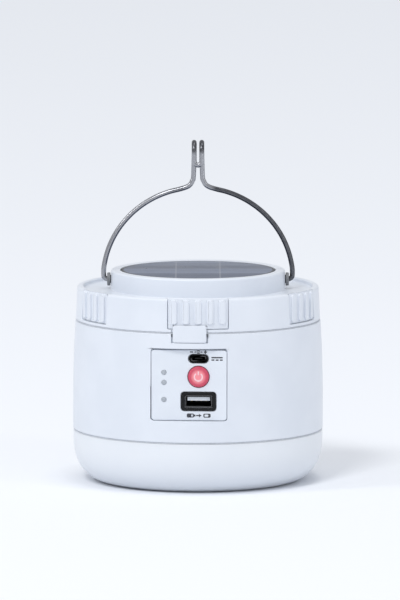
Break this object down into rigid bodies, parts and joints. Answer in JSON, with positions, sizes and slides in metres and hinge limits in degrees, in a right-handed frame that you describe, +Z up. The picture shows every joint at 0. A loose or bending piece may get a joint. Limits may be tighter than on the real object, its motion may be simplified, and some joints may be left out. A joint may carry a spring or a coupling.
{
  "type": "solar camping lantern",
  "caption": "Round rechargeable lantern: milky light bowl below, solar panel on a raised dais, folding wire bail with a hook, and a front panel with push button and USB outlet.",
  "frame": {"origin": "centre of the flat underside of the light bowl, on the surface it stands on", "axes": "+Z up through the lantern's axis; the control panel faces -Y; the bail's hinge axis runs along X"},
  "size_m": [0.125, 0.125, 0.1709],
  "materials": {
    "white_abs": "gloss moulded white",
    "milky_pc": "milky diffuser",
    "black_plastic": "matte black",
    "red_silicone": "satin red",
    "grey_abs": "matte grey",
    "foam": "foam tape",
    "seal_rubber": "soft grey",
    "steel": "polished wire and sheet",
    "zinc_screw": "zinc plated",
    "aluminium_can": "satin",
    "silicon": "dark solar cell",
    "clear_resin": "clear cover",
    "circuit_board": "green solder mask",
    "light_board": "white solder mask",
    "ferrite": "matte",
    "cell_sleeve": "shrink sleeve",
    "red_lead": "insulated wire",
    "black_lead": "insulated wire"
  },
  "bodies": {
    "housing": {"diffuser_bowl": "milky_pc", "bowl_seal": "seal_rubber", "cap_seal": "seal_rubber", "body_shell": "white_abs", "top_cap": "white_abs", "front_clip": "white_abs", "left_clip": "white_abs", "right_clip": "white_abs", "rear_clip": "white_abs", "control_panel": "white_abs", "usb_surround": "black_plastic", "usb_shell": "steel", "usb_tongue": "white_abs", "charge_surround": "black_plastic", "charge_shell": "steel", "charge_tongue": "black_plastic", "indicator_light_pipes": "clear_resin", "tact_switch": "black_plastic", "control_board": "circuit_board", "charge_chip": "black_plastic", "driver_chip": "black_plastic", "boost_inductor": "ferrite", "input_capacitor": "aluminium_can", "output_capacitor": "aluminium_can", "board_screw_1": "zinc_screw", "board_screw_2": "zinc_screw", "board_screw_3": "zinc_screw", "board_screw_4": "zinc_screw", "panel_gasket": "foam", "solar_board": "circuit_board", "solar_cells": "silicon", "solar_cover": "clear_resin", "bail_bush_left": "grey_abs", "bail_bush_right": "grey_abs", "light_tray": "white_abs", "light_board": "light_board", "light_board_screw_1": "zinc_screw", "light_board_screw_2": "zinc_screw", "light_board_screw_3": "zinc_screw", "tray_screw_1": "zinc_screw", "tray_screw_2": "zinc_screw", "tray_screw_3": "zinc_screw", "tray_screw_4": "zinc_screw", "battery_cradle": "grey_abs", "battery_cell_front": "cell_sleeve", "battery_cell_rear": "cell_sleeve", "battery_contact_left": "steel", "battery_contact_right": "steel", "cradle_screw_1": "zinc_screw", "cradle_screw_2": "zinc_screw", "solar_lead_red": "red_lead", "solar_lead_black": "black_lead", "battery_lead_red": "red_lead", "battery_lead_black": "black_lead", "light_lead_red": "red_lead", "light_lead_black": "black_lead"},
    "bail": {"wire_bail": "steel"},
    "button": {"power_button": "red_silicone"}
  },
  "joints": [
    {"name": "bail_swing", "type": "hinge", "parent": "housing", "child": "bail", "pos_m": [0, 0, 0.1006], "axis": [1, 0, 0], "range_deg": [-90, 80]},
    {"name": "button_press", "type": "slide", "parent": "housing", "child": "button", "axis": [0.075, 0.9972, 0], "range_m": [0, 0.0008], "stiffness_N_per_m": 900}
  ]
}
